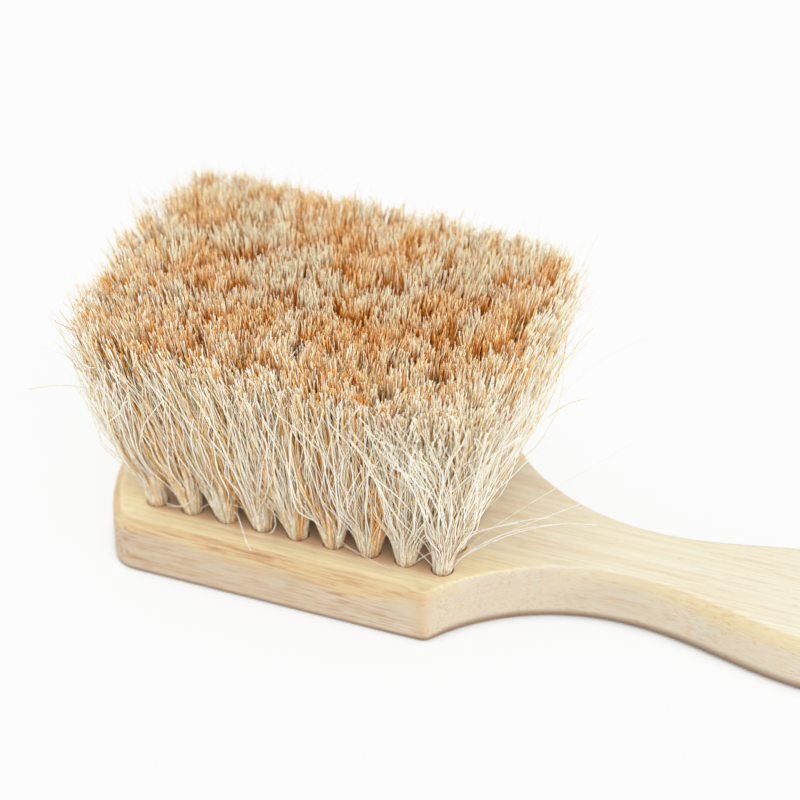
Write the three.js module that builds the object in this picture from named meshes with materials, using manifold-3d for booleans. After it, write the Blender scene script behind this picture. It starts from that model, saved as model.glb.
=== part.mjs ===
// Neck duster brush: a one-piece wooden block with a handle, and a field of
// separate hair tufts standing in blind holes.
//
// Millimetres. +X runs from the head to the end of the handle, and +Z is the way
// the hair stands. The origin is on the flat back face, under the centre of the
// tuft field.

import * as THREE from 'three';
import { mergeVertices } from 'three/addons/utils/BufferGeometryUtils.js';
import Module from 'manifold-3d';

// The wooden block, seen from above
const OVERALL_LENGTH = 228.6;
const THICKNESS = 14;
const HEAD_WIDTH = 60;
const EDGE_RADIUS = 2.4;
const HEAD_END_X = -49.7;
const HEAD_END_RADIUS = 53;
const SHOULDER_X = 33.6;
const CORNER_LEG = 3;
const NECK_X = 72;
const NECK_WIDTH = 18.6;
const GRIP_X = 118;
const GRIP_WIDTH = 33.2;
const SWELL_LEG = 17;
const GRIP_LEG = 34;
const BUTT_LEG = 14.5;
const CURVE_STEPS = 6;

// The tuft field
const COLUMNS = 9;
const ROWS = 6;
const COLUMN_PITCH = 8.5;
const ROW_PITCH = 8.3;
const HOLE_RADIUS = 2.55;
const HOLE_DEPTH = 10;
const DRILL_TIP = 1.2;
const HOLE_SIDES = 16;

// The hair: every tuft flares from its hole to its own cell of the trimmed top
const HAIR_LENGTH = 50;
const FIELD_TOP_LENGTH = 94;
const FIELD_TOP_WIDTH = 72;
const TUFT_GAP = 0.3;
const TUFT_SIDES = 12;

const wasm = await Module();
wasm.setup();

// A closed three.js geometry as a solid that can be joined and cut.
function toSolid(geometry) {
  const bare = geometry.clone();
  bare.deleteAttribute('normal');
  bare.deleteAttribute('uv');
  const merged = mergeVertices(bare);
  const mesh = new wasm.Mesh({
    numProp: 3,
    vertProperties: new Float32Array(merged.attributes.position.array),
    triVerts: new Uint32Array(merged.index.array),
  });
  return new wasm.Manifold(mesh);
}

// A solid back as a three.js geometry.
function toGeometry(solid) {
  const mesh = solid.getMesh();
  const geometry = new THREE.BufferGeometry();
  geometry.setAttribute('position', new THREE.BufferAttribute(mesh.vertProperties, 3));
  geometry.setIndex(new THREE.BufferAttribute(mesh.triVerts, 1));
  geometry.computeVertexNormals();
  return geometry;
}

// One half of the block's outline, from the middle of the head's bowed end to the
// middle of the handle's butt, on the -Y side.
function halfOutline() {
  const side = HEAD_WIDTH / 2;
  const neck = NECK_WIDTH / 2;
  const grip = GRIP_WIDTH / 2;
  const butt = HEAD_END_X + OVERALL_LENGTH;

  // The bowed end meets the straight side at this angle and place.
  const bowAngle = Math.asin(side / HEAD_END_RADIUS);
  const bowCentre = HEAD_END_X + HEAD_END_RADIUS;
  const cornerX = bowCentre - HEAD_END_RADIUS * Math.cos(bowAngle);
  const cornerAngle = bowAngle - CORNER_LEG / HEAD_END_RADIUS;

  // The hollow between shoulder and neck is one arc that is level at the neck.
  const drop = side - neck;
  const reach = NECK_X - SHOULDER_X;
  const hollowRadius = (reach * reach + drop * drop) / (2 * drop);
  const hollowY = -neck - hollowRadius;
  const shoulderAngle = Math.atan2(-side - hollowY, -reach);
  const hollowStart = shoulderAngle - CORNER_LEG / hollowRadius;

  const path = new THREE.Path();
  path.absarc(bowCentre, 0, HEAD_END_RADIUS, Math.PI, Math.PI + cornerAngle, false);
  path.quadraticCurveTo(cornerX, -side, cornerX + CORNER_LEG, -side);
  path.lineTo(SHOULDER_X - CORNER_LEG, -side);
  path.quadraticCurveTo(
    SHOULDER_X,
    -side,
    NECK_X + hollowRadius * Math.cos(hollowStart),
    hollowY + hollowRadius * Math.sin(hollowStart),
  );
  path.absarc(NECK_X, hollowY, hollowRadius, hollowStart, Math.PI / 2, true);
  path.bezierCurveTo(NECK_X + SWELL_LEG, -neck, GRIP_X - SWELL_LEG, -grip, GRIP_X, -grip);
  path.bezierCurveTo(GRIP_X + GRIP_LEG, -grip, butt, -BUTT_LEG, butt, 0);
  return path.getPoints(CURVE_STEPS);
}

// The plank: the outline and its mirror image, with both faces' edges rounded over.
function plankGeometry() {
  const half = halfOutline();
  const mirrored = half.slice(1, -1).reverse().map((point) => new THREE.Vector2(point.x, -point.y));
  const outline = new THREE.Shape([...half, ...mirrored]);
  const plank = new THREE.ExtrudeGeometry(outline, {
    depth: THICKNESS - 2 * EDGE_RADIUS,
    bevelThickness: EDGE_RADIUS,
    bevelSize: EDGE_RADIUS,
    bevelOffset: -EDGE_RADIUS,
    bevelSegments: 3,
  });
  plank.translate(0, 0, EDGE_RADIUS);
  return plank;
}

// The space that a drill with a pointed tip clears for one tuft.
function drillGeometry(x, y) {
  const floor = THICKNESS - HOLE_DEPTH;
  const profile = [
    new THREE.Vector2(0, floor - DRILL_TIP),
    new THREE.Vector2(HOLE_RADIUS, floor),
    new THREE.Vector2(HOLE_RADIUS, THICKNESS + 1),
    new THREE.Vector2(0, THICKNESS + 1),
  ];
  const drill = new THREE.LatheGeometry(profile, HOLE_SIDES);
  drill.rotateX(Math.PI / 2);
  drill.translate(x, y, 0);
  return drill;
}

// Where a tuft stands: the middle of its hole, and the middle of its cell on top.
function tuftPlace(row, column) {
  const alongX = column - (COLUMNS - 1) / 2;
  const alongY = row - (ROWS - 1) / 2;
  return {
    hole: new THREE.Vector2(alongX * COLUMN_PITCH, alongY * ROW_PITCH),
    top: new THREE.Vector2((alongX * FIELD_TOP_LENGTH) / COLUMNS, (alongY * FIELD_TOP_WIDTH) / ROWS),
  };
}

// Head and handle in one piece of wood, with a blind hole for each tuft.
function woodBody() {
  let solid = toSolid(plankGeometry());
  for (let row = 0; row < ROWS; row += 1) {
    for (let column = 0; column < COLUMNS; column += 1) {
      const { hole } = tuftPlace(row, column);
      solid = solid.subtract(toSolid(drillGeometry(hole.x, hole.y)));
    }
  }
  const wood = new THREE.MeshStandardMaterial({ color: '#ead5ac', roughness: 0.55, metalness: 0 });
  const mesh = new THREE.Mesh(toGeometry(solid), wood);
  mesh.name = 'wood_body';
  return mesh;
}

// One tuft: a round stem in its hole that opens evenly into a squarish brush end.
function tuftGeometry(row, column) {
  const stem = HOLE_RADIUS - TUFT_GAP;
  const topX = FIELD_TOP_LENGTH / COLUMNS / 2 - TUFT_GAP;
  const topY = FIELD_TOP_WIDTH / ROWS / 2 - TUFT_GAP;
  const { hole, top } = tuftPlace(row, column);

  const root = THICKNESS - HOLE_DEPTH + TUFT_GAP;
  const profile = [
    new THREE.Vector2(0, root),
    new THREE.Vector2(1, root),
    new THREE.Vector2(1, THICKNESS),
    new THREE.Vector2(1, THICKNESS + HAIR_LENGTH / 2),
    new THREE.Vector2(1, THICKNESS + HAIR_LENGTH),
    new THREE.Vector2(0, THICKNESS + HAIR_LENGTH),
  ];
  const tuft = new THREE.LatheGeometry(profile, TUFT_SIDES);
  tuft.rotateX(Math.PI / 2);

  const position = tuft.attributes.position;
  const point = new THREE.Vector3();
  for (let i = 0; i < position.count; i += 1) {
    point.fromBufferAttribute(position, i);
    const rise = THREE.MathUtils.clamp((point.z - THICKNESS) / HAIR_LENGTH, 0, 1);
    const reach = Math.max(Math.abs(point.x), Math.abs(point.y));
    const squared = reach > 0 ? 1 / reach : 1;
    const stretch = THREE.MathUtils.lerp(1, squared, rise);
    const halfX = THREE.MathUtils.lerp(stem, topX, rise);
    const halfY = THREE.MathUtils.lerp(stem, topY, rise);
    const centre = hole.clone().lerp(top, rise);
    position.setXYZ(
      i,
      centre.x + point.x * stretch * halfX,
      centre.y + point.y * stretch * halfY,
      point.z,
    );
  }
  tuft.computeVertexNormals();
  return tuft;
}

function hairTuft(row, column) {
  const hair = new THREE.MeshStandardMaterial({ color: '#dcb483', roughness: 0.7, metalness: 0 });
  const mesh = new THREE.Mesh(tuftGeometry(row, column), hair);
  mesh.name = `tuft_r${row + 1}_c${column + 1}`;
  return mesh;
}

const brush = new THREE.Group();
brush.add(woodBody());
for (let row = 0; row < ROWS; row += 1) {
  for (let column = 0; column < COLUMNS; column += 1) {
    brush.add(hairTuft(row, column));
  }
}

export default brush;
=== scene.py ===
"""The looks of the neck duster brush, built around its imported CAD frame.

Metres, +X from the head to the end of the handle, +Z the way the hair stands, and z = 0
is the flat back that the brush lies on. The wood is one smooth plank with real tuft
holes, and each tuft is a bunch of separate hairs, every one a closed tapered tube.
"""

import math

import bmesh
import bpy
import numpy as np
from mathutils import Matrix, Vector


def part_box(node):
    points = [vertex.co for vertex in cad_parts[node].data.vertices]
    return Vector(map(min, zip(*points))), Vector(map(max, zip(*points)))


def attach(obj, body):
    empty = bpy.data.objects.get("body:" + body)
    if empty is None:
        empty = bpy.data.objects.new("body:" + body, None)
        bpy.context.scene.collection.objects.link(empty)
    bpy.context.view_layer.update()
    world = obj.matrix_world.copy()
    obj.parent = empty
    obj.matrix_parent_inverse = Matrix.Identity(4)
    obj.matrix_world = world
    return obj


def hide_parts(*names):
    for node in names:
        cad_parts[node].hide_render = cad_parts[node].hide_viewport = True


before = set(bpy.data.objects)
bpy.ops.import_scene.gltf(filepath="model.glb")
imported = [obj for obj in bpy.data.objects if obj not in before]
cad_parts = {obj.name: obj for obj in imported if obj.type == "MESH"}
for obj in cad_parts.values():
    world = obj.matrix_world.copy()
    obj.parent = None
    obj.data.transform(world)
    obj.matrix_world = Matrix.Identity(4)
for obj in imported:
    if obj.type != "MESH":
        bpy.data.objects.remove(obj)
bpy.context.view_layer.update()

MM = 0.001

# The block's outline, in millimetres, as the CAD draws it but with its own two corners.
HEAD_END_RADIUS = 53.0
SHOULDER_X = 33.6
NECK_X = 72.0
NECK_HALF = 9.3
GRIP_X = 118.0
GRIP_HALF = 16.6
SWELL_LEG = 17.0
GRIP_LEG = 34.0
BUTT_LEG = 14.5
END_CORNER_LEG = 4.0
SHOULDER_LEG = 1.6

# How far the edges are rounded over, in millimetres, and how finely the wood is cut.
TOP_EDGE_HEAD = 3.0
TOP_EDGE_SHOULDER = 1.0
TOP_EDGE_HANDLE = 2.8
BACK_EDGE_HEAD = 0.8
BACK_EDGE_HANDLE = 1.8
OUTLINE_STEP = 0.7
EDGE_STEPS = 7
CORNER_STEPS = 10
HOLE_SIDES = 32

# The hair, in millimetres: how many hairs a tuft has, and how finely each one is drawn.
HAIR_RADIUS = 0.12
HAIRS_OUTER = 820
HAIRS_INNER = 720
RINGS = 26
COARSE_RINGS = 9
LOCKS = 20

# Where a hair stands in its hole. TUFT_GAP is the CAD's gap between a tuft and its hole.
TUFT_GAP = 0.3
STEM_GAP = 0.4
ROOT_DEPTH = 3.0

# How far the tips reach past their own cell of the top: outwards, at random outwards, and
# in among the neighbouring tufts. Wild hairs go further, up to the limits.
SPLAY = 0.4
FRINGE = 0.8
OVERLAP = 4.5
WILD_SHARE = 0.34
HAIR_LOW = (-58.0, -46.0)
HAIR_HIGH = (68.0, 46.0)

# The trimmed top stands over the CAD's flat one, slopes along X and Y, has its corners
# drawn in, and bows out at the end away from the handle.
TIP_RISE = 3.2
TRIM_SLOPE = (-0.022, 0.026)
FIELD_HALF = (47.0, 36.0)
CORNER_DRAW = 0.10
END_BOW = 2.0

# The waves in a hair: their slowest and fastest pace, in waves up the hair, and their size.
WAVES = ((0.4, 1.2, 1.0), (0.8, 2.0, 0.6), (3.5, 6.0, 0.30))

# The tones of the three kinds of hair, and the corner where the hair is palest.
WHITE_TONES = (0.0, 0.30)
GOLDEN_TONES = (0.48, 0.68)
BROWN_TONES = (0.68, 0.95)
PALE_CORNER = (44.0, -32.0)

# The camera: its angles in degrees, its lens in millimetres, and its places in metres.
CAMERA_AZIMUTH = 20.7
CAMERA_ELEVATION = 36.6
CAMERA_LENS = 127.4
CAMERA_STOP = 14.0
CAMERA_AIM = (0.0112, 0.0134, 0.0302)
CAMERA_DISTANCE = 0.6396
CAMERA_FOCUS = (0.026, -0.029, 0.041)

# Long hairs that stand clear of the rest, by the row and column of their tuft: tone,
# thickness, and the points that pull the hair, from the middle of its hole.
STRAYS = {
    (1, 1): [
        (0.60, 1.6, [(-3, 7, 12), (-6, 7, 27), (-19, 0, 29), (-30.5, 0, 23)]),
        (0.10, 0.6, [(-6, 0, 7), (-14, 0, 19), (-22, 0, 33)]),
        (0.60, 1.4, [(-3, 7, 14), (-5, 6, 28), (-19, 0, 32)]),
        (0.05, 1.0, [(2, -3, 4), (6, -4, 0), (10, -4, 1), (14, -4, 10), (14, -4, 20)]),
    ],
    (1, 2): [(0.08, 0.9, [(3, -3, 5), (8, -4, 8), (15, -4, 9), (19, -3, 4)])],
    (1, 3): [(0.04, 1.0, [(3, -4, 9), (7, -8, 10), (7, -9, 4), (9.5, -9, 0)])],
    (1, 4): [(0.06, 1.0, [(2, -5, 1), (8, -6, 3), (8, -5, 9), (2, -5, 16), (-3, -5, 20)])],
    (1, 5): [(0.07, 0.9, [(-4, -4, 14), (-12, -8, 30), (-21, -9, 38)])],
    (1, 6): [
        (0.58, 1.1, [(-2, -2, 5), (2, -3, 4), (5, -3, 2.5)]),
        (0.05, 0.9, [(4, -3, 4), (8, -4, 1), (15, -5, 1)]),
    ],
    (1, 7): [
        (0.60, 1.3, [(0, -5, 8), (5, -9, 18), (13, -11, 25), (20, -11, 32)]),
        (0.55, 0.9, [(0, -4, 12), (5, -9, 24), (16, -10, 38)]),
    ],
    (1, 8): [
        (0.04, 1.1, [(3, -2, 3), (9, -3, 8), (17, -2, 17), (33, -2, 23)]),
        (0.06, 0.9, [(2, -4, 12), (10, -5, 11), (18, -5, 18), (27, -5, 22)]),
    ],
    (1, 9): [
        (0.02, 1.1, [(3, 0, 4), (8, 1, 12), (20, 4, 17), (33, 5, 18)]),
        (0.08, 1.0, [(4, 0, 3), (11, 2, 13), (25, 5, 16)]),
        (0.05, 0.9, [(-4, -3, 9), (-12, -5, 11), (-18, -5, 14)]),
        (0.03, 0.8, [(6, 1, 9), (18, 5, 14), (29, 6, 22)]),
    ],
    (2, 1): [(0.62, 1.0, [(-8, 2, 14), (-18, 4, 27), (-26, 3, 30), (-27, 2, 34)])],
    (2, 9): [(0.12, 0.7, [(10, 1, 10), (22, 2, 22), (34, 2, 32), (46, 2, 46.5)])],
    (4, 9): [(0.60, 1.3, [(8, 1, 18), (14, 2, 30), (23, 3, 33)])],
    (5, 9): [
        (0.30, 0.9, [(8, 4, 18), (16, 7, 35), (26, 7, 39), (36, 7.5, 45)]),
        (0.20, 0.9, [(8, 3, 16), (18, 5, 34), (28, 6, 40)]),
    ],
}

SEED = 33


# ---------------------------------------------------------------- small helpers

def new_object(name, mesh, material):
    mesh.materials.append(material)
    piece = bpy.data.objects.new(name, mesh)
    bpy.context.scene.collection.objects.link(piece)
    return piece


def smooth_step(value, low, high):
    t = np.clip((value - low) / (high - low), 0.0, 1.0)
    return t * t * (3.0 - 2.0 * t)


class Shader:
    """A material's node tree, with short calls to add and join its nodes."""

    def __init__(self, name):
        self.material = bpy.data.materials.new(name)
        self.material.use_nodes = True
        self.tree = self.material.node_tree
        self.surface = self.tree.nodes["Principled BSDF"]

    def add(self, kind, settings=None, **inputs):
        node = self.tree.nodes.new(kind)
        for key, value in (settings or {}).items():
            setattr(node, key, value)
        for key, value in inputs.items():
            self.feed(node.inputs[key.replace("_", " ")], value)
        return node

    def feed(self, socket, value):
        if isinstance(value, bpy.types.NodeSocket):
            self.tree.links.new(value, socket)
        else:
            socket.default_value = value

    def maths(self, operation, *values):
        node = self.add("ShaderNodeMath", {"operation": operation})
        for socket, value in zip(node.inputs, values):
            self.feed(socket, value)
        return node.outputs[0]

    def between(self, value, low, high):
        """0 up to low and 1 from high on, with a soft step between; low may be the larger."""
        node = self.add("ShaderNodeMapRange", {"interpolation_type": "SMOOTHSTEP"}, Value=value)
        node.inputs["From Min"].default_value = low
        node.inputs["From Max"].default_value = high
        return node.outputs[0]

    def raised(self, value, target, share):
        """The value, moved up by that share of the way to a higher target."""
        room = self.maths("MAXIMUM", self.maths("SUBTRACT", target, value), 0.0)
        return self.maths("MULTIPLY_ADD", room, share, value)

    def mix(self, share, a, b, blend="MIX"):
        node = self.add("ShaderNodeMix", {"data_type": "RGBA", "blend_type": blend})
        self.feed(node.inputs[0], share)
        self.feed(node.inputs[6], a)
        self.feed(node.inputs[7], b)
        return node.outputs[2]

    def ramp(self, value, stops):
        """stops is a list of (position, colour); a plain number is a grey."""
        node = self.add("ShaderNodeValToRGB", Fac=value)
        elements = node.color_ramp.elements
        while len(elements) < len(stops):
            elements.new(0.5)
        for element, (position, colour) in zip(elements, stops):
            element.position = position
            if isinstance(colour, (int, float)):
                colour = (colour, colour, colour)
            element.color = (*colour, 1.0)
        return node.outputs[0]

    def stretched(self, per_mm):
        """The place on the object, scaled along X, Y and Z, in units per millimetre."""
        place = self.add("ShaderNodeTexCoord").outputs["Object"]
        scale = tuple(value / MM for value in per_mm)
        node = self.add("ShaderNodeMapping", {"vector_type": "POINT"}, Vector=place, Scale=scale)
        return node.outputs[0]

    def noise(self, per_mm, detail=3.0, roughness=0.5, distortion=0.0):
        return self.add(
            "ShaderNodeTexNoise",
            Vector=self.stretched(per_mm),
            Scale=1.0,
            Detail=detail,
            Roughness=roughness,
            Distortion=distortion,
        ).outputs[0]


# ---------------------------------------------------------------- materials

def wood_base(s, place, wander, along, handle, top):
    """Rosy sides under a golden band at the head, paler sides at the handle, a creamy top; the
    sides are darker partly in their own colour, partly as painted shade.
    """
    cream = (0.73, 0.67, 0.52, 1.0)
    warm_and_lifted = (0.82, 0.69, 0.43, 1.0)
    golden = (0.55, 0.41, 0.222, 1.0)
    rose = (0.435, 0.355, 0.265, 1.0)
    pale_side = (0.475, 0.42, 0.34, 1.0)
    grip_side = (0.53, 0.475, 0.385, 1.0)
    straw = (0.58, 0.485, 0.31, 1.0)

    layer = s.maths("MULTIPLY_ADD", wander, 10.0, place[2])
    upper = s.between(layer, 8.5, 11.5)
    # The side colours are partly the wood's own and partly painted shade that keeps them darker
    # than the top.
    lower_side = s.mix(s.between(along, 2.0, 34.0), rose, pale_side)
    lower_side = s.mix(s.between(along, 58.0, 86.0), lower_side, grip_side)
    upper_side = s.mix(handle, golden, s.mix(s.between(along, 56.0, 84.0), pale_side, straw))

    # The top is warmer along the front of the head, and its colour there is also lifted, a painted
    # light against the shadow of the hair.
    front = s.maths("MULTIPLY", s.between(place[1], -8.0, -18.0), s.between(along, 72.0, 46.0))
    body = s.mix(top, s.mix(upper, lower_side, upper_side), s.mix(front, cream, warm_and_lifted))
    broad = s.ramp(s.noise((0.015, 0.22, 0.22), detail=3.0), [(0.38, 0.0), (0.64, 1.0)])
    broad_share = s.maths("MULTIPLY", broad, s.maths("MULTIPLY_ADD", top, 0.15, 0.15))
    return s.mix(broad_share, body, cream)


def wood_grain(s, body, handle, top):
    """Long grain lines, broad brown bands, and short reddish streaks on the head's sides."""
    line_brown = (0.54, 0.36, 0.19, 1.0)
    band_brown = (0.42, 0.25, 0.13, 1.0)
    streak_red = (0.33, 0.15, 0.065, 1.0)

    lines = s.ramp(
        s.noise((0.018, 2.6, 2.6), detail=4.0, roughness=0.6, distortion=0.2),
        [(0.44, 1.0), (0.57, 0.0)],
    )
    body = s.mix(s.maths("MULTIPLY", lines, 0.28), body, line_brown)

    # The bands and the streaks fade on the top face and along the handle.
    plain = s.maths("MAXIMUM", s.maths("MULTIPLY", top, 0.75), s.maths("MULTIPLY", handle, 0.8))
    bands = s.ramp(s.noise((0.03, 0.55, 0.55), detail=2.0), [(0.48, 0.0), (0.66, 1.0)])
    band_share = s.maths("MULTIPLY", bands, s.maths("MULTIPLY_ADD", plain, -0.25, 0.25))
    body = s.mix(band_share, body, band_brown)
    streaks = s.ramp(
        s.noise((0.10, 1.9, 1.9), detail=3.0, roughness=0.6),
        [(0.50, 0.0), (0.62, 1.0)],
    )
    clusters = s.ramp(s.noise((0.02, 0.15, 0.15), detail=1.0), [(0.42, 0.3), (0.56, 1.0)])
    streaks = s.maths("MULTIPLY", streaks, clusters)
    streak_share = s.maths("MULTIPLY", streaks, s.maths("MULTIPLY_ADD", plain, -0.75, 0.8))
    return s.mix(streak_share, body, streak_red), lines


def wood_pores(s, body, top):
    """Long thin vessels along X: dashes on the sides, and dots where the outline cuts them."""
    pore_brown = (0.56, 0.29, 0.09, 1.0)
    cells = s.add(
        "ShaderNodeTexVoronoi",
        Vector=s.stretched((0.33, 1.35, 1.35)),
        Scale=1.0,
        Randomness=1.0,
    )
    near = s.ramp(cells.outputs["Distance"], [(0.10, 1.0), (0.32, 0.0)])
    chosen = s.add("ShaderNodeSeparateColor", Color=cells.outputs["Color"]).outputs[0]
    open_pore = s.ramp(chosen, [(0.45, 0.0), (0.75, 1.0)])
    pores = s.maths("MULTIPLY", near, open_pore)
    pore_share = s.maths("MULTIPLY", pores, s.maths("MULTIPLY_ADD", top, -0.45, 0.75))
    return s.mix(pore_share, body, pore_brown), pores


def wood_tints(s, body, place, along, handle):
    """Painted shade among the tufts, brown shoulder corners, painted light on the bowed end,
    painted shade on the lower edge.
    """
    painted_tuft_shade = (0.56, 0.31, 0.185, 1.0)
    corner_brown = (0.50, 0.29, 0.14, 1.0)
    painted_end_light = (0.74, 0.67, 0.56, 1.0)
    painted_edge_shadow = (0.17, 0.10, 0.06, 1.0)

    reach_x = s.maths("ABSOLUTE", place[0])
    reach_y = s.maths("ABSOLUTE", place[1])
    # Painted shade: the wood among the tufts is painted warm brown where the hair's shadow falls.
    field = s.maths("MULTIPLY", s.between(reach_x, 37.5, 34.0), s.between(reach_y, 24.6, 22.6))
    body = s.mix(s.maths("MULTIPLY", field, 0.75), body, painted_tuft_shade)

    from_shoulder = s.maths("ABSOLUTE", s.maths("SUBTRACT", place[0], SHOULDER_X - 1.0))
    at_shoulder = s.between(from_shoulder, 3.5, 0.5)
    corner = s.maths("MULTIPLY", at_shoulder, s.between(reach_y, 26.5, 29.0))
    body = s.mix(s.maths("MULTIPLY", corner, 0.35), body, corner_brown)

    # Painted light: the bowed end is painted paler, a painted reflection of the bright studio at
    # its grazing angle.
    bowed = s.maths("MULTIPLY", s.between(place[0], -44.5, -48.5), 0.3)
    body = s.mix(bowed, body, painted_end_light)

    # Painted shade: the lower edge is painted dark where the contact shadow falls, and the painted
    # shade reaches higher at the handle, most at the grip.
    grip = s.between(along, 66.0, 96.0)
    reach_z = s.maths("MULTIPLY_ADD", grip, 0.9, s.maths("MULTIPLY_ADD", handle, 1.4, 1.5))
    low = s.maths("DIVIDE", place[2], reach_z)
    edge = s.maths("MULTIPLY", s.between(low, 1.0, 0.3), s.between(place[2], 0.0, 0.1))
    return s.mix(s.maths("MULTIPLY", edge, 0.9), body, painted_edge_shadow)


def wood_material():
    """Pale plantation wood, sanded and thinly sealed: grain along X, short open pores."""
    s = Shader("pale_wood")

    # Where on the block, in millimetres: along it, towards the handle, and on the top face.
    place = s.add("ShaderNodeSeparateXYZ", Vector=s.stretched((1, 1, 1))).outputs
    wander = s.maths("SUBTRACT", s.noise((0.03, 0.12, 0.12), detail=3.0), 0.5)
    along = s.maths("MULTIPLY_ADD", wander, 40.0, place[0])
    handle = s.between(along, 22.0, 40.0)
    top = s.between(place[2], 13.5, 13.98)

    body = wood_base(s, place, wander, along, handle, top)
    body, lines = wood_grain(s, body, handle, top)
    body, pores = wood_pores(s, body, top)
    body = wood_tints(s, body, place, along, handle)
    s.feed(s.surface.inputs["Base Color"], body)

    sheen = s.ramp(s.noise((0.08, 0.8, 0.8), detail=2.0), [(0.3, 0.44), (0.7, 0.58)])
    s.feed(s.surface.inputs["Roughness"], sheen)
    s.feed(s.surface.inputs["Specular IOR Level"], 0.3)
    relief = s.maths("ADD", s.maths("MULTIPLY", lines, 0.35), pores)
    bump = s.add("ShaderNodeBump", {"invert": True}, Strength=0.22, Distance=0.0001, Height=relief)
    s.feed(s.surface.inputs["Normal"], bump.outputs[0])
    return s.material


def hair_material():
    """Natural hair. Each vertex says its hair's tone, its height, and how deep inside it is."""
    s = Shader("natural_hair")
    strand = s.add("ShaderNodeAttribute", {"attribute_name": "strand"}).outputs["Color"]
    tone, along, inner = s.add("ShaderNodeSeparateColor", Color=strand).outputs

    # White hair yellows towards its tip, and in some patches the tips are orange.
    yellowing = s.ramp(along, [(0.25, 0.0), (0.85, 0.8), (1.0, 0.55)])
    yellowing = s.maths("MULTIPLY", yellowing, s.maths("MULTIPLY_ADD", inner, 0.75, 0.25))
    shade = s.raised(tone, 0.46, yellowing)
    patches = s.ramp(s.noise((0.085, 0.085, 0.01), detail=2.0), [(0.47, 0.0), (0.60, 1.0)])
    shade = s.raised(shade, 0.68, s.maths("MULTIPLY", patches, s.maths("MULTIPLY", inner, 0.55)))

    # Inside the brush the hair is brown below its tip, partly its own colour and partly painted
    # shade that browns hair the deeper it lies.
    deep = s.ramp(along, [(0.0, 0.35), (0.40, 1.0), (0.93, 1.0), (1.0, 0.0)])
    shade = s.raised(shade, 0.80, s.maths("MULTIPLY", deep, inner))
    colour = s.ramp(
        shade,
        [
            (0.00, (0.93, 0.945, 0.92)),
            (0.26, (0.915, 0.89, 0.765)),
            (0.46, (0.88, 0.77, 0.52)),
            (0.60, (0.88, 0.56, 0.19)),
            (0.78, (0.82, 0.335, 0.045)),
            (1.00, (0.50, 0.165, 0.02)),
        ],
    )

    # The cut tips are dull and pale, less so in the orange patches, and the roots have darker
    # clefts: partly the roots' own tan, partly painted shade between the strands.
    cut = s.maths("MULTIPLY_ADD", patches, -0.40, 0.75)
    tip = s.maths("MULTIPLY", s.between(along, 0.93, 0.985), cut)
    colour = s.mix(s.maths("MULTIPLY", tip, inner), colour, (0.73, 0.71, 0.56, 1.0))
    clefts = s.ramp(s.noise((2.6, 2.6, 0.06), detail=2.0), [(0.48, 0.1), (0.60, 1.0)])
    root = s.maths("MULTIPLY", clefts, s.ramp(along, [(0.0, 0.8), (0.45, 0.0)]))
    colour = s.mix(root, colour, (0.52, 0.37, 0.235, 1.0))
    mottle = s.ramp(s.noise((0.5, 0.5, 0.16), detail=3.0), [(0.3, 0.88), (0.7, 1.05)])
    colour = s.mix(1.0, colour, mottle, "MULTIPLY")

    # The light between hairs has come through other hairs, which makes it warm.
    open_air = s.add("ShaderNodeAmbientOcclusion", {"samples": 2}, Distance=2.5 * MM).outputs["AO"]
    gaps = s.ramp(open_air, [(0.0, (1.0, 0.68, 0.31)), (0.3, (1.0, 0.91, 0.68)), (0.55, 1.0)])
    colour = s.mix(s.maths("MULTIPLY_ADD", inner, -0.6, 1.0), colour, gaps, "MULTIPLY")
    s.feed(s.surface.inputs["Base Color"], colour)
    s.feed(s.surface.inputs["Roughness"], 0.5)
    s.feed(s.surface.inputs["Specular IOR Level"], 0.12)
    return s.material


def floor_material():
    s = Shader("studio_floor")
    s.feed(s.surface.inputs["Base Color"], (0.855, 0.875, 0.885, 1.0))
    s.feed(s.surface.inputs["Roughness"], 0.9)
    s.feed(s.surface.inputs["Specular IOR Level"], 0.0)
    seen = s.add("ShaderNodeLightPath").outputs["Is Camera Ray"]
    clear = s.add("ShaderNodeAmbientOcclusion", {"samples": 8}, Distance=3.0 * MM).outputs["AO"]
    seen = s.maths("MULTIPLY", seen, s.maths("POWER", clear, 2.0))
    s.feed(s.surface.inputs["Emission Color"], (0.97, 1.0, 1.0, 1.0))
    s.feed(s.surface.inputs["Emission Strength"], s.maths("MULTIPLY", seen, 0.20))
    return s.material


# ---------------------------------------------------------------- the wood

def arc(centre, radius, start, end):
    """Points along an arc, about OUTLINE_STEP apart, without its first point."""
    count = max(2, round(abs(end - start) * radius / OUTLINE_STEP))
    angle = np.linspace(start, end, count + 1)[1:]
    return np.stack([centre[0] + radius * np.cos(angle), centre[1] + radius * np.sin(angle)], 1)


def bezier(points, count, first=False):
    """Points along a Bezier curve of any degree, with or without its first point."""
    points = np.array(points, float)
    t = np.linspace(0.0, 1.0, count if first else count + 1)[:, None]
    if not first:
        t = t[1:]
    degree = len(points) - 1
    return sum(
        math.comb(degree, i) * t**i * (1 - t) ** (degree - i) * point
        for i, point in enumerate(points)
    )


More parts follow.
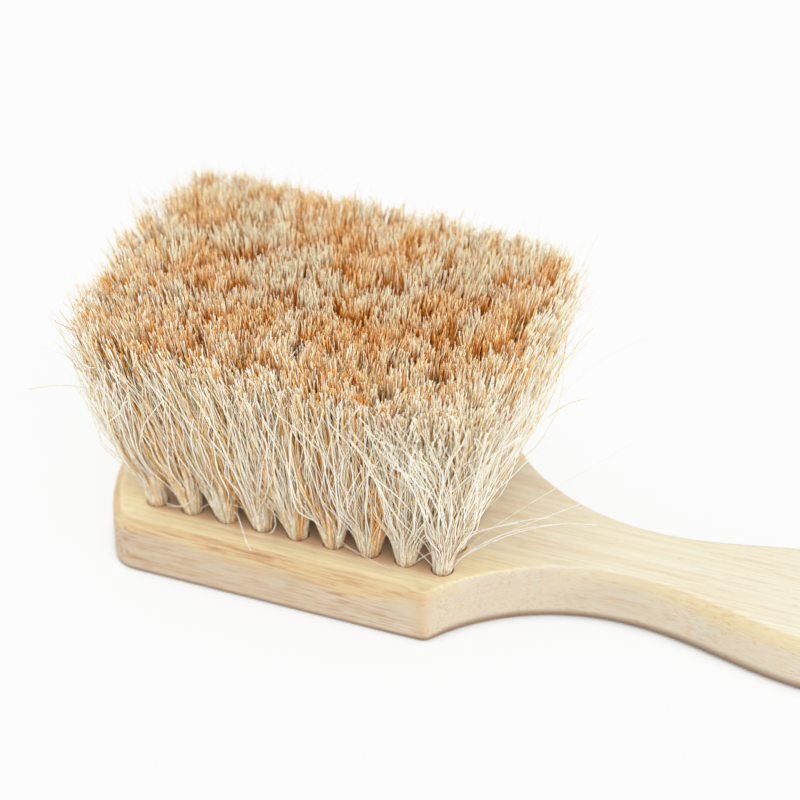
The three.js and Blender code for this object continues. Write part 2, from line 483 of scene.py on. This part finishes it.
def half_outline(head_end, butt, half_width):
    """The -Y half of the outline, from the head's bowed end to the handle's butt."""
    bow_angle = math.asin(half_width / HEAD_END_RADIUS)
    bow_centre = head_end + HEAD_END_RADIUS
    corner_x = bow_centre - HEAD_END_RADIUS * math.cos(bow_angle)
    corner_angle = bow_angle - END_CORNER_LEG / HEAD_END_RADIUS

    drop = half_width - NECK_HALF
    reach = NECK_X - SHOULDER_X
    hollow_radius = (reach * reach + drop * drop) / (2 * drop)
    hollow_y = -NECK_HALF - hollow_radius
    shoulder_angle = math.atan2(-half_width - hollow_y, -reach)
    hollow_start = shoulder_angle - SHOULDER_LEG / hollow_radius

    start = np.array([[head_end, 0.0]])
    bow = arc((bow_centre, 0.0), HEAD_END_RADIUS, math.pi, math.pi + corner_angle)
    side_from = (corner_x + END_CORNER_LEG, -half_width)
    corner = bezier([bow[-1], (corner_x, -half_width), side_from], CORNER_STEPS)
    side_to = (SHOULDER_X - SHOULDER_LEG, -half_width)
    side = bezier([side_from, side_to], round((side_to[0] - side_from[0]) / OUTLINE_STEP))
    hollow_from = (
        NECK_X + hollow_radius * math.cos(hollow_start),
        hollow_y + hollow_radius * math.sin(hollow_start),
    )
    shoulder = bezier([side_to, (SHOULDER_X, -half_width), hollow_from], CORNER_STEPS)
    hollow = arc((NECK_X, hollow_y), hollow_radius, hollow_start, math.pi / 2)
    swell = bezier(
        [
            (NECK_X, -NECK_HALF),
            (NECK_X + SWELL_LEG, -NECK_HALF),
            (GRIP_X - SWELL_LEG, -GRIP_HALF),
            (GRIP_X, -GRIP_HALF),
        ],
        round((GRIP_X - NECK_X) / OUTLINE_STEP),
    )
    grip = bezier(
        [
            (GRIP_X, -GRIP_HALF),
            (GRIP_X + GRIP_LEG, -GRIP_HALF),
            (butt, -BUTT_LEG),
            (butt, 0.0),
        ],
        round((butt - GRIP_X + GRIP_HALF) / OUTLINE_STEP),
    )
    return np.concatenate([start, bow, corner, side, shoulder, hollow, swell, grip])


def edge_radius(x, head, shoulder, handle):
    """The edge rounding along the brush: head, then sharper at the shoulder, then handle."""
    to_shoulder = smooth_step(x, SHOULDER_X - 7.0, SHOULDER_X - 1.0)
    to_handle = smooth_step(x, SHOULDER_X + 12.0, NECK_X + 18.0)
    return head + (shoulder - head) * to_shoulder + (handle - shoulder) * to_handle


def plank_mesh():
    """The plank without its holes: stacked rings of the outline, drawn in at the edges."""
    low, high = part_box("wood_body")
    half = half_outline(low.x / MM, high.x / MM, high.y / MM)
    outline = np.concatenate([half, half[-2:0:-1] * (1.0, -1.0)])
    before, after = np.roll(outline, 1, 0), np.roll(outline, -1, 0)
    tangent = after - before
    tangent /= np.linalg.norm(tangent, axis=1)[:, None]
    inward = np.stack([-tangent[:, 1], tangent[:, 0]], 1)

    thickness = high.z / MM
    top = edge_radius(outline[:, 0], TOP_EDGE_HEAD, TOP_EDGE_SHOULDER, TOP_EDGE_HANDLE)
    back = edge_radius(outline[:, 0], BACK_EDGE_HEAD, TOP_EDGE_SHOULDER, BACK_EDGE_HANDLE)
    rings = []
    for step in range(EDGE_STEPS + 1):
        turn = step / EDGE_STEPS * math.pi / 2
        inset = (back * (1 - math.sin(turn)))[:, None]
        z = back * (1 - math.cos(turn))
        rings.append(np.column_stack([outline + inward * inset, z]))
    for step in range(EDGE_STEPS + 1):
        turn = step / EDGE_STEPS * math.pi / 2
        inset = (top * (1 - math.cos(turn)))[:, None]
        z = thickness - top * (1 - math.sin(turn))
        rings.append(np.column_stack([outline + inward * inset, z]))

    bm = bmesh.new()
    layers = [[bm.verts.new(Vector(p) * MM) for p in ring] for ring in rings]
    count = len(outline)
    for lower, upper in zip(layers, layers[1:]):
        for i in range(count):
            j = (i + 1) % count
            bm.faces.new((lower[i], lower[j], upper[j], upper[i]))
    bm.faces.new(layers[-1])
    bm.faces.new(list(reversed(layers[0])))
    mesh = bpy.data.meshes.new("wood_body_smooth")
    bm.to_mesh(mesh)
    bm.free()
    return mesh


def drill_mesh(plans):
    """All the drills that clear the holes, as one mesh of separate closed plugs."""
    bm = bmesh.new()
    for plan in plans:
        depth = plan["mouth"] - plan["floor"]
        ring_z = (plan["floor"], plan["mouth"] + 1.0)
        radius = plan["hole_radius"]
        layers = []
        for z in ring_z:
            layer = []
            for i in range(HOLE_SIDES):
                angle = i / HOLE_SIDES * 2 * math.pi
                x = plan["hole"][0] + radius * math.cos(angle)
                y = plan["hole"][1] + radius * math.sin(angle)
                layer.append(bm.verts.new((x * MM, y * MM, z * MM)))
            layers.append(layer)
        tip_z = plan["floor"] - depth * 0.1
        tip = bm.verts.new((plan["hole"][0] * MM, plan["hole"][1] * MM, tip_z * MM))
        for i in range(HOLE_SIDES):
            j = (i + 1) % HOLE_SIDES
            bm.faces.new((layers[0][i], layers[0][j], layers[1][j], layers[1][i]))
            bm.faces.new((layers[0][j], layers[0][i], tip))
        bm.faces.new(layers[1])
    mesh = bpy.data.meshes.new("drills")
    bm.to_mesh(mesh)
    bm.free()
    return mesh


def make_wood(plans, material):
    """The plank with its holes cut, smooth over its edges and flat on its faces."""
    piece = new_object("wood_body_smooth", plank_mesh(), material)
    drills = bpy.data.objects.new("drills", drill_mesh(plans))
    bpy.context.scene.collection.objects.link(drills)
    cut = piece.modifiers.new("holes", "BOOLEAN")
    cut.object = drills
    cut.operation = "DIFFERENCE"
    cut.solver = "EXACT"
    depsgraph = bpy.context.evaluated_depsgraph_get()
    mesh = bpy.data.meshes.new_from_object(piece.evaluated_get(depsgraph))
    piece.modifiers.clear()
    piece.data = mesh
    bpy.data.objects.remove(drills)
    mesh.shade_smooth()
    mesh.set_sharp_from_angle(angle=math.radians(40))
    weighted = piece.modifiers.new("flat_faces", "WEIGHTED_NORMAL")
    weighted.keep_sharp = True
    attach(piece, "root")
    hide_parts("wood_body")


# ---------------------------------------------------------------- the hair

def tuft_plan(name, row, column, rows, columns):
    """Where a tuft stands, read from its CAD solid: its hole, and its cell on top."""
    points = np.array([v.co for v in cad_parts[name].data.vertices]) / MM
    lowest = points[:, 2].min()
    highest = points[:, 2].max()
    stem = points[points[:, 2] < lowest + 0.1]
    cell = points[points[:, 2] > highest - 0.1]
    hole = (stem[:, :2].min(0) + stem[:, :2].max(0)) / 2
    top = (cell[:, :2].min(0) + cell[:, :2].max(0)) / 2
    return {
        "name": name,
        "place": (row + 1, column + 1),
        "hole": hole,
        "stem": (stem[:, 0].max() - stem[:, 0].min()) / 2,
        "hole_radius": (stem[:, 0].max() - stem[:, 0].min()) / 2 + TUFT_GAP,
        "floor": lowest - TUFT_GAP,
        "mouth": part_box("wood_body")[1].z / MM,
        "top": top,
        "top_z": highest,
        "half": (cell[:, :2].max(0) - cell[:, :2].min(0)) / 2,
        "outward": np.array(
            [
                (column == columns - 1) - (column == 0),
                (row == rows - 1) - (row == 0),
            ],
            float,
        ),
    }


def tuft_plans():
    names = sorted(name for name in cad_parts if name.startswith("tuft_"))
    places = [tuple(int(part[1:]) - 1 for part in name.split("_")[1:]) for name in names]
    rows = max(row for row, _ in places) + 1
    columns = max(column for _, column in places) + 1
    return [tuft_plan(n, row, column, rows, columns) for n, (row, column) in zip(names, places)]


def sample_disc(rng, count):
    angle = rng.uniform(0, 2 * math.pi, count)
    radial = np.sqrt(rng.uniform(0, 1, count))
    return np.stack([radial * np.cos(angle), radial * np.sin(angle)], 1)


def rounded(tip):
    """The field's top corners drawn in, and its end away from the handle bowed out."""
    across = np.clip(tip / FIELD_HALF, -1.0, 1.0)
    corner = np.abs(across).prod(1) ** 3
    bow = np.clip(-across[:, 0], 0, 1) ** 3 * (1 - across[:, 1] ** 2)
    return tip * (1 - CORNER_DRAW * corner)[:, None] - np.outer(bow, (END_BOW, 0.0))


def squared(disc):
    """The unit disc stretched to a square, as a tuft fills its cell of the top."""
    longest = np.maximum(np.abs(disc).max(1), 1e-6)
    return disc * (np.linalg.norm(disc, axis=1) / longest)[:, None]


class TuftHairs:
    """One tuft's hairs, worked out from root to tip to colour, in millimetres.

    The steps share one stream of random numbers, so their order matters.
    """

    def __init__(self, plan, rng):
        self.plan = plan
        self.rng = rng
        self.outward = plan["outward"]
        self.outer = bool(np.any(self.outward))
        self.near_handle = self.outward[0] > 0
        self.hairs = HAIRS_OUTER if self.outer else HAIRS_INNER
        self.length = plan["top_z"] - plan["mouth"]
        self.lean = plan["top"] - plan["hole"]
        from_corner = np.linalg.norm(plan["top"] - PALE_CORNER)
        self.pale = 1 - float(smooth_step(from_corner, 8.0, 30.0))
        self.place_roots()
        self.place_tips()
        self.trim_tips()
        self.draw_curves()
        self.choose_tones()
        self.find_depths()

    def place_roots(self):
        """Where each hair leaves the hole, and the little lock that it belongs to."""
        self.disc = sample_disc(self.rng, self.hairs)
        self.locks = sample_disc(self.rng, LOCKS)
        apart = np.linalg.norm(self.disc[:, None] - self.locks[None], axis=2)
        self.lock = np.argmin(apart, axis=1)
        self.facing = np.clip((self.disc * self.outward).max(1), 0, 1)

    def place_tips(self):
        """Where each tip lands on the top, in a looser fringe on the handle's side."""
        rng, hairs, outward = self.rng, self.hairs, self.outward
        pull = rng.uniform(0.15, 0.6, (hairs, 1))
        gathered = self.disc + (self.locks[self.lock] - self.disc) * pull
        past_edge = SPLAY - 1.2 * self.near_handle
        reach = self.plan["half"] + np.where(gathered * outward > 0, past_edge, OVERLAP)
        tip = self.plan["top"] + squared(gathered) * reach + rng.normal(0, 0.35, (hairs, 2))
        loose = rng.exponential(FRINGE + 1.0 * self.near_handle, hairs)
        tip += outward * (self.facing * loose)[:, None]
        self.tip = rounded(tip)

        # Wild hairs cross their neighbours.
        wild_share = WILD_SHARE + 0.16 * self.pale if self.outer else 0.03
        self.wild = (rng.uniform(0, 1, hairs) < wild_share).astype(float)
        sideways = np.array([-outward[1], outward[0]]) if self.outer else np.array([1.0, 0.0])
        self.strayed = sideways * (self.wild * rng.normal(0, 6.5, hairs))[:, None]
        self.strayed += outward * (self.wild * rng.uniform(-0.5, 4.0, hairs))[:, None]

    def trim_tips(self):
        """How high each tip stands: trimmed to the slope, but for some tall and short hairs."""
        rng, hairs = self.rng, self.hairs
        lock_height = rng.normal(0, 0.9, LOCKS)
        self.trim_z = self.plan["top_z"] + TIP_RISE + self.plan["top"] @ TRIM_SLOPE
        tip_z = self.trim_z + lock_height[self.lock] - np.abs(rng.normal(0, 2.3, hairs))
        tip_z -= 1.5 * self.facing**2 * rng.uniform(0.0, 2.0, hairs)
        self.tall = rng.uniform(0, 1, hairs) < (0.05 if self.outer else 0.01)
        tip_z += self.tall * rng.uniform(0.5, 2.5, hairs)
        tip_z -= self.wild * 14 * rng.uniform(0, 1, hairs) ** 2
        short = rng.uniform(0, 1, hairs) < 0.10
        tip_z -= short * rng.uniform(2, 28, hairs)
        self.tip_z = tip_z

    def draw_curves(self):
        """The centre lines: a quick fan out of the hole, but a straight lean on the outside."""
        plan = self.plan
        rise = np.linspace(0, 1, RINGS - 1)
        rise = 1 - (1 - rise) ** (1.15 if self.outer else 1.5)
        height = (self.tip_z - plan["mouth"])[:, None] * rise
        share = (height / self.length)[:, :, None]
        root = plan["hole"] + self.disc * (plan["hole_radius"] - STEM_GAP)
        fan = self.tip - root - self.lean
        quick = 1 - (1 - np.clip(share, 0, 1)) ** 1.5
        opening = quick + (share**1.15 - quick) * np.abs(self.outward)
        xy = root[:, None] + self.lean * share + fan[:, None] * opening
        xy += self.strayed[:, None] * share**2
        self.bend(xy, share)

        self.path = np.empty((self.hairs, RINGS, 3))
        self.path[:, 0, :2] = root
        self.path[:, 0, 2] = plan["mouth"] - ROOT_DEPTH
        self.path[:, 1:, :2] = np.clip(xy, HAIR_LOW, HAIR_HIGH)
        self.path[:, 1:, 2] = plan["mouth"] + height
        self.up = np.concatenate([np.zeros((self.hairs, 1, 1)), share], 1)

    def bend(self, xy, share):
        """Long waves, short ripples, a bow in wild hairs, and locks that bend near their tips."""
        rng, hairs = self.rng, self.hairs
        loose = 0.07 + 0.08 * self.facing + 0.12 * self.wild
        for slowest, fastest, size in WAVES:
            size = size * (loose * rng.gamma(2.0, 1.0, hairs))[:, None, None]
            size = size * rng.normal(0, 1, (hairs, 1, 2))
            pace = rng.uniform(slowest, fastest, (hairs, 1, 1))
            phase = rng.uniform(0, 2 * math.pi, (hairs, 1, 2))
            wave = np.sin(2 * math.pi * pace * share + phase) - np.sin(phase)
            xy += size * wave * smooth_step(share, 0.05, 0.45)
        bow = rng.normal(0, 2.0, (hairs, 1, 2)) * self.wild[:, None, None]
        xy += bow * np.sin(math.pi * share) * smooth_step(share, 0.0, 0.4)
        xy += rng.normal(0, 1.15, (LOCKS, 2))[self.lock][:, None] * share**4
        xy += rng.normal(0, 0.35, 2) * share**2
        xy += rng.normal(0, 0.5, (hairs, 1, 2)) * share**6

    def choose_tones(self):
        """White hairs outside, and most of all round the pale corner by the handle; golden
        and brown inside, more of them in some locks than in others."""
        rng, hairs, facing = self.rng, self.hairs, self.facing
        shaded = self.near_handle and self.outward[1] == 0
        lock_warm = np.clip(rng.beta(0.55, 0.75, LOCKS) + rng.normal(0, 0.15), 0, 1)[self.lock]
        lock_warm *= 1 - 0.6 * self.pale
        white_share = 0.52 + 0.04 * self.outer + (0.10 if shaded else 0.30) * facing
        white_share = (white_share + 0.20 * self.pale) * (1.5 - 1.25 * lock_warm)
        brown_share = (1 - white_share) * (0.10 + 0.65 * lock_warm) * (1 - 0.8 * facing)
        kind = rng.uniform(0, 1, hairs)
        is_white = (kind < white_share) | self.tall
        is_brown = (kind > 1 - brown_share) & ~is_white
        white = rng.uniform(*WHITE_TONES, hairs)
        golden = rng.uniform(*GOLDEN_TONES, hairs)
        brown = rng.uniform(*BROWN_TONES, hairs)
        self.tone = np.where(is_white, white, np.where(is_brown, brown, golden))
        self.thickness = rng.uniform(0.7, 1.3, hairs) * (1 + 0.35 * facing * is_white)
        self.thickness *= 1 - 0.15 * self.wild

    def find_depths(self):
        """How deep inside the brush each ring is, from 0 on the outside to 1."""
        rng, plan, up = self.rng, self.plan, self.up
        stem = plan["hole_radius"] - STEM_GAP
        out = (self.path[:, :, :2] - plan["hole"] - self.lean * up) * self.outward
        out = (out / (stem + (plan["half"] - stem) * up)).max(2)
        outside = 0.72 - 1.2 * np.clip(up[:, :, 0], 0, 1) ** 3
        outside = outside + rng.normal(0, 0.22, (self.hairs, 1))
        inner = 1 - smooth_step(out, outside, 1.04) * self.outer

        # Wild, tall and pale hairs are lit as if nearer the outside, and so are some
        # bleached locks along the front.
        from_front = self.tip[:, 1] + FIELD_HALF[1]
        bleached_share = 0.7 * (1 - smooth_step(from_front, 12.0, 36.0))
        bleached = rng.uniform(0, 1, LOCKS)[self.lock] < bleached_share
        kept = (1 - 0.5 * self.wild) * (1 - 0.5 * self.tall) * (1 - 0.65 * self.pale)
        self.inner = inner * (kept * (1 - 0.65 * bleached))[:, None]

    def parts(self):
        """The centre lines, (hairs, RINGS, 3), and what the meshes and colours need."""
        return {
            "path": self.path,
            "tone": self.tone,
            "thickness": self.thickness,
            "along": self.up[:, :, 0] * self.length / (self.trim_z - self.plan["mouth"]),
            "inner": self.inner,
            "fine": self.outer & ((self.facing > 0.3) | (self.wild > 0)),
        }


def stray_hairs(plan):
    """The tuft's long stray hairs: smooth curves pulled through their points."""
    strays = STRAYS.get(plan["place"], [])
    paths = np.empty((len(strays), RINGS, 3))
    for index, (_, _, pulls) in enumerate(strays):
        turn = 2.4 * index
        start = np.array([math.cos(turn), math.sin(turn), 0.0]) * plan["stem"] * 0.6
        points = np.concatenate([[start - (0, 0, ROOT_DEPTH)], [start], np.array(pulls, float)])
        points += (*plan["hole"], plan["mouth"])
        paths[index] = bezier(points, RINGS, first=True)
    return {
        "path": paths,
        "tone": np.array([stray[0] for stray in strays]),
        "thickness": np.array([stray[1] for stray in strays]),
        "along": np.full((len(strays), RINGS), 0.25),
        "inner": np.zeros((len(strays), RINGS)),
        "fine": np.ones(len(strays), bool),
    }


def bunches(hairs):
    """The hairs in two lots: the fine ones with every ring, and the rest with fewer."""
    fine = hairs["fine"]
    few = np.round(np.linspace(1, RINGS - 1, COARSE_RINGS - 1)).astype(int)
    for chosen, rings in ((fine, np.arange(RINGS)), (~fine, np.concatenate([[0], few]))):
        if chosen.any():
            yield {
                "path": hairs["path"][chosen][:, rings],
                "tone": hairs["tone"][chosen],
                "thickness": hairs["thickness"][chosen],
                "along": hairs["along"][chosen][:, rings],
                "inner": hairs["inner"][chosen][:, rings],
            }


def tube_points(path, thickness, rng):
    """Three corners round every ring of every path, (hairs, rings, 3, 3)."""
    hairs, rings, _ = path.shape
    tangent = np.gradient(path, axis=1)
    tangent /= np.linalg.norm(tangent, axis=2)[:, :, None]
    drift = path[:, -1, :2] - path[:, 0, :2]
    across = np.stack([-drift[:, 1], drift[:, 0], np.zeros(hairs)], 1) + (1e-6, 0, 0)
    across = across[:, None] - tangent * (across[:, None] * tangent).sum(2)[:, :, None]
    across /= np.linalg.norm(across, axis=2)[:, :, None]
    other = np.cross(tangent, across)

    rise = np.linspace(0, 1, rings)
    taper = (0.75 + 0.25 * smooth_step(rise, 0.0, 0.35)) * (1.0 - 0.2 * rise**3)
    radius = (HAIR_RADIUS * thickness[:, None] * taper)[:, :, None, None]
    turn = rng.uniform(0, 2 * math.pi, (hairs, 1, 1)) + np.arange(3) * 2 * math.pi / 3
    turn = turn[..., None]
    offset = np.cos(turn) * across[:, :, None] + np.sin(turn) * other[:, :, None]
    return path[:, :, None] + offset * radius


def tube_faces(hairs, rings):
    """Four-sided faces round the tubes and three-sided caps, as numbers of their corners."""
    first = (np.arange(hairs) * rings * 3)[:, None, None]
    base = first + (np.arange(rings - 1) * 3)[None, :, None]
    side = np.arange(3)[None, None, :]
    after = (side + 1) % 3
    quads = np.stack([base + side, base + after, base + after + 3, base + side + 3], 3)
    start = first[:, 0, 0]
    end = start + (rings - 1) * 3
    roots = np.stack([start + 2, start + 1, start], 1)
    tips = np.stack([end, end + 1, end + 2], 1)
    return quads.reshape(-1, 4), np.concatenate([roots, tips])


def tube_map(cells, rings):
    """Each hair's own cell of the bake map, so that its colour bakes into a cell of its own."""
    side = np.arange(3)
    step = np.arange(rings - 1)
    u = np.stack([side, side + 1, side + 1, side], 1) / 3
    v = np.stack([step, step, step + 1, step + 1], 1) / (rings - 1)
    quads = np.empty((len(cells), rings - 1, 3, 4, 2))
    quads[..., 0] = u[None, None]
    quads[..., 1] = v[None, :, None]
    roots = np.tile(np.array([[0.1, 0.0], [0.5, 0.0], [0.9, 0.0]]), (len(cells), 1, 1))
    tips = roots + (0.0, 1.0)
    margin = 0.08
    placed = [
        cells.reshape(-1, *[1] * (part.ndim - 2), 2) + margin + part * (1 - 2 * margin)
        for part in (quads, roots, tips)
    ]
    return np.concatenate([part.reshape(-1, 2) for part in placed])


def tuft_mesh(name, hairs, rng):
    """Closed three-sided tapered tubes round the hairs' centre lines, as one mesh."""
    total = len(hairs["tone"])
    columns = math.ceil(math.sqrt(total * 1.3))
    rows = math.ceil(total / columns)
    points, loops, sizes, strands, uvs = [], [], [], [], []
    done = 0
    corners = 0
    for bunch in bunches(hairs):
        count, rings, _ = bunch["path"].shape
        points.append(tube_points(bunch["path"], bunch["thickness"], rng).reshape(-1, 3))
        quads, caps = tube_faces(count, rings)
        loops += [quads.ravel() + corners, caps.ravel() + corners]
        sizes += [np.full(len(quads), 4), np.full(len(caps), 3)]
        strand = np.ones((count, rings, 3, 4))
        strand[..., 0] = bunch["tone"][:, None, None]
        strand[..., 1] = bunch["along"][:, :, None]
        strand[..., 2] = bunch["inner"][:, :, None]
        strands.append(strand.reshape(-1, 4))
        number = np.arange(done, done + count)
        cells = np.stack([number % columns, number // columns], 1)
        uvs.append(tube_map(cells, rings) / (columns, rows))
        done += count
        corners += count * rings * 3

    sizes = np.concatenate(sizes)
    mesh = bpy.data.meshes.new(name)
    mesh.vertices.add(corners)
    mesh.vertices.foreach_set("co", (np.concatenate(points) * MM).astype(np.float32).ravel())
    mesh.loops.add(sizes.sum())
    mesh.loops.foreach_set("vertex_index", np.concatenate(loops))
    mesh.polygons.add(len(sizes))
    mesh.polygons.foreach_set("loop_start", np.cumsum(sizes) - sizes)
    mesh.polygons.foreach_set("use_smooth", np.ones(len(sizes), bool))
    mesh.update(calc_edges=True)
    strand = mesh.attributes.new("strand", "FLOAT_COLOR", "POINT")
    strand.data.foreach_set("color", np.concatenate(strands).astype(np.float32).ravel())
    layer = mesh.uv_layers.new(name="OFBake")
    layer.uv.foreach_set("vector", np.concatenate(uvs).astype(np.float32).ravel())
    return mesh


def make_tuft(plan, material, rng):
    hairs = TuftHairs(plan, rng).parts()
    strays = stray_hairs(plan)
    hairs = {key: np.concatenate([hairs[key], strays[key]]) for key in hairs}
    name = "hair_" + plan["name"]
    piece = new_object(name, tuft_mesh(name, hairs, rng), material)
    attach(piece, "root")
    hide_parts(plan["name"])


# ---------------------------------------------------------------- the studio

def make_floor():
    bpy.ops.mesh.primitive_plane_add(size=6.0, location=(0, 0, -0.0001))
    floor = bpy.context.object
    floor.name = "floor"
    floor.data.materials.append(floor_material())


def make_softbox(name, place, size, energy):
    lamp = bpy.data.lights.new(name, "AREA")
    lamp.shape = "SQUARE"
    lamp.size = size
    lamp.energy = energy
    softbox = bpy.data.objects.new(name, lamp)
    softbox.location = place
    softbox.rotation_mode = "QUATERNION"
    softbox.rotation_quaternion = (-softbox.location).to_track_quat("-Z", "Y")
    bpy.context.scene.collection.objects.link(softbox)


def make_lights():
    """A white tent of light all round, with four softboxes: above, in front, at each end."""
    world = bpy.data.worlds.new("studio")
    bpy.context.scene.world = world
    world.use_nodes = True
    tree = world.node_tree
    lit = tree.nodes["Background"]
    lit.inputs["Color"].default_value = (1.0, 0.985, 0.96, 1.0)
    lit.inputs["Strength"].default_value = 0.88
    seen = tree.nodes.new("ShaderNodeBackground")
    seen.inputs["Color"].default_value = (0.985, 1.0, 1.0, 1.0)
    seen.inputs["Strength"].default_value = 1.4
    path = tree.nodes.new("ShaderNodeLightPath")
    either = tree.nodes.new("ShaderNodeMixShader")
    tree.links.new(path.outputs["Is Camera Ray"], either.inputs[0])
    tree.links.new(lit.outputs[0], either.inputs[1])
    tree.links.new(seen.outputs[0], either.inputs[2])
    tree.links.new(either.outputs[0], tree.nodes["World Output"].inputs["Surface"])

    make_softbox("softbox_above", (-0.05, 0.0, 1.2), 0.9, 4.3)
    make_softbox("softbox_front", (0.65, -0.95, 0.75), 1.0, 9.0)
    make_softbox("softbox_handle", (1.20, -0.20, 0.35), 0.8, 6.5)
    make_softbox("softbox_head", (-1.10, -0.20, 0.40), 0.8, 5.0)


def set_exposure():
    """A high-key look: plain up to a mid grey, then the highlights roll off to near white."""
    view = bpy.context.scene.view_settings
    view.view_transform = "Standard"
    view.use_curve_mapping = True
    mapping = view.curve_mapping
    brightest = 1.5
    mapping.white_level = (brightest, brightest, brightest)
    curve = mapping.curves[3]
    curve.points[-1].location = (1.0, 0.975)
    for light, shown in ((0.5, 0.5), (0.7, 0.69), (0.9, 0.84), (1.05, 0.915), (1.25, 0.957)):
        curve.points.new(light / brightest, shown)
    mapping.update()


def make_camera():
    """The photograph's viewing angle: from the handle side, above, with a long lens."""
    azimuth = math.radians(CAMERA_AZIMUTH)
    elevation = math.radians(CAMERA_ELEVATION)
    back = Vector(
        (
            math.sin(azimuth) * math.cos(elevation),
            -math.cos(azimuth) * math.cos(elevation),
            math.sin(elevation),
        )
    )
    lens = bpy.data.cameras.new("camera")
    lens.lens = CAMERA_LENS
    lens.sensor_width = 36.0
    camera = bpy.data.objects.new("camera", lens)
    camera.rotation_mode = "QUATERNION"
    camera.location = Vector(CAMERA_AIM) + back * CAMERA_DISTANCE
    camera.rotation_quaternion = (-back).to_track_quat("-Z", "Y")
    bpy.context.scene.collection.objects.link(camera)
    bpy.context.scene.camera = camera

    focus = bpy.data.objects.new("focus", None)
    focus.location = CAMERA_FOCUS
    bpy.context.scene.collection.objects.link(focus)
    lens.dof.use_dof = True
    lens.dof.focus_object = focus
    lens.dof.aperture_fstop = CAMERA_STOP


# ---------------------------------------------------------------- the whole scene

plans = tuft_plans()
make_wood(plans, wood_material())
hair = hair_material()
for index, plan in enumerate(plans):
    make_tuft(plan, hair, np.random.default_rng([SEED, index]))
make_floor()
make_lights()
make_camera()
set_exposure()
